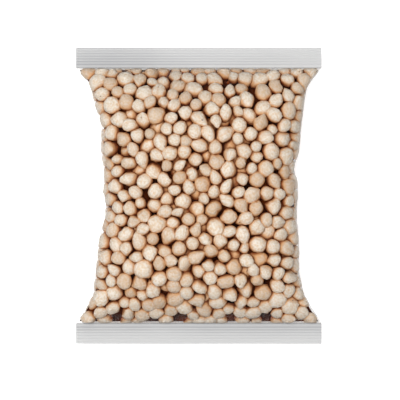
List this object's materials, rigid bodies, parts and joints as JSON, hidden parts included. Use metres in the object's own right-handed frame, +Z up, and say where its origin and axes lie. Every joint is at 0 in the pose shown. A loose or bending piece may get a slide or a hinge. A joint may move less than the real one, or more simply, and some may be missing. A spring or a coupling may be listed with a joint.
{
  "type": "bag of dried chickpeas",
  "caption": "Clear pillow bag of dried chickpeas lying on its back, film drawn close over the chickpeas, with a ribbed crimped seal across each end.",
  "frame": {"origin": "on the surface that the bag lies on, under the middle of its box", "axes": "+Z up through the front, +Y towards the top seal, +X to the right of the front"},
  "size_m": [0.16, 0.193, 0.0427],
  "materials": {
    "chickpeas": "dry chickpeas seen through film",
    "film": "clear gloss film",
    "crimped_film": "clear gloss film pressed into ribs"
  },
  "bodies": {
    "root": {"bag": "chickpeas"}
  },
  "joints": []
}
